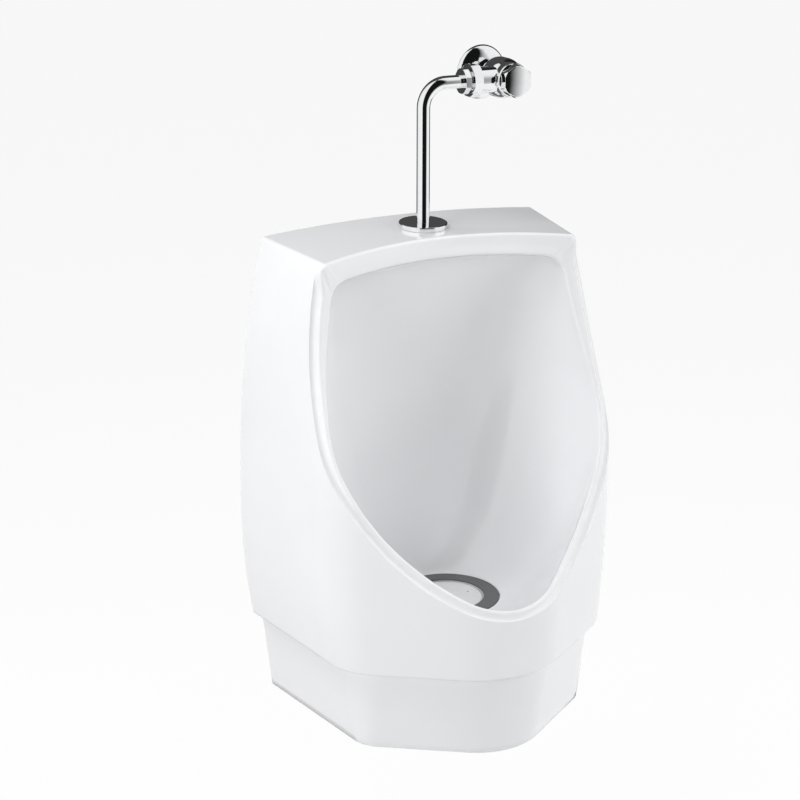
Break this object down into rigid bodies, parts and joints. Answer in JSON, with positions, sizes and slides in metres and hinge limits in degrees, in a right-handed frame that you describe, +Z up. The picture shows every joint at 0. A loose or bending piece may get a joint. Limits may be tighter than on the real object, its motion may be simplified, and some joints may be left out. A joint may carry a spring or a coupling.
{
  "type": "wall-hung waterless urinal",
  "caption": "Wall-hung white ceramic urinal with a pointed shield front, a lift-out trap cartridge under a grey trim ring, and a chrome angle stop and bent supply tube over it.",
  "frame": {"origin": "on the wall plane, on the centre line, at the axis of the drain outlet", "axes": "+Z up, +Y out of the back into the wall, -Y towards the user, +X to the user's right"},
  "size_m": [0.53, 0.3696, 0.959],
  "materials": {
    "china": "gloss white glaze",
    "chrome": "polished chrome plate",
    "brass": "machined",
    "zinc_steel": "zinc plated",
    "rubber": "matte",
    "cable_rubber": "satin",
    "trim_plastic": "matte dark grey",
    "lid_plastic": "satin light grey",
    "white_plastic": "satin",
    "housing_plastic": "satin",
    "hose_plastic": "smooth",
    "box_plastic": "fine texture",
    "battery_steel": "satin"
  },
  "bodies": {
    "ware": {"china_body": "china", "wall_hanger_left": "zinc_steel", "wall_hanger_right": "zinc_steel", "drain_housing": "housing_plastic", "housing_gasket": "rubber", "clamp_washer": "rubber", "clamp_ring": "white_plastic", "trim_ring": "trim_plastic", "outlet_pipe": "housing_plastic", "outlet_nut": "white_plastic", "outlet_washer": "rubber", "outlet_gasket": "rubber", "spud_body": "brass", "spud_gasket": "rubber", "spud_washer": "rubber", "spud_locknut": "brass", "tube_seal": "rubber", "supply_tube": "chrome", "compression_nut": "chrome", "compression_sleeve": "brass", "union_tail": "chrome", "union_washer": "rubber", "coupling_nut": "chrome", "stop_body": "chrome", "inlet_nipple": "brass", "cover_tube": "chrome", "wall_flange": "chrome", "stop_bonnet": "chrome", "bonnet_washer": "rubber", "stem_o_ring": "rubber", "rinse_elbow": "brass", "elbow_nut": "brass", "rinse_hose": "hose_plastic", "hose_clamps": "zinc_steel", "rinse_valve": "white_plastic", "valve_nut": "white_plastic", "solenoid_coil": "box_plastic", "coil_cable": "cable_rubber", "control_box": "box_plastic", "control_box_lid": "box_plastic", "battery_pack": "battery_steel"},
    "cartridge": {"cartridge_body": "white_plastic", "cartridge_lid": "lid_plastic", "cartridge_baffle": "white_plastic", "cartridge_o_rings": "rubber"},
    "spud_cover": {"spud_flange": "chrome"},
    "cap": {"stop_cap": "chrome"},
    "valve_disc": {"stop_plunger": "brass", "plunger_washer": "rubber"},
    "valve_stem": {"stop_stem": "brass"},
    "armature": {"rinse_plunger": "zinc_steel"}
  },
  "joints": [
    {"name": "cartridge_lift", "type": "slide", "parent": "ware", "child": "cartridge", "axis": [0, 0, 1], "range_m": [0, 0.25]},
    {"name": "spud_cover_slide", "type": "slide", "parent": "ware", "child": "spud_cover", "axis": [0, 0, 1], "range_m": [0, 0.12]},
    {"name": "cap_pull", "type": "slide", "parent": "ware", "child": "cap", "axis": [0, -1, 0], "range_m": [0, 0.06]},
    {"name": "disc_slide", "type": "slide", "parent": "ware", "child": "valve_disc", "axis": [0, 1, 0], "range_m": [0, 0.006]},
    {"name": "stem_turn", "type": "hinge", "parent": "valve_disc", "child": "valve_stem", "pos_m": [0.1315, -0.085, 0.842], "axis": [0, 1, 0], "range_deg": [0, 1080]},
    {"name": "armature_slide", "type": "slide", "parent": "ware", "child": "armature", "axis": [-1, 0, 0], "range_m": [0, 0.003], "stiffness_N_per_m": 300, "springref_m": -0.002}
  ],
  "couplings": [
    {"joint": "stem_turn", "follows": "disc_slide", "rad_per_m": 3141.6}
  ]
}
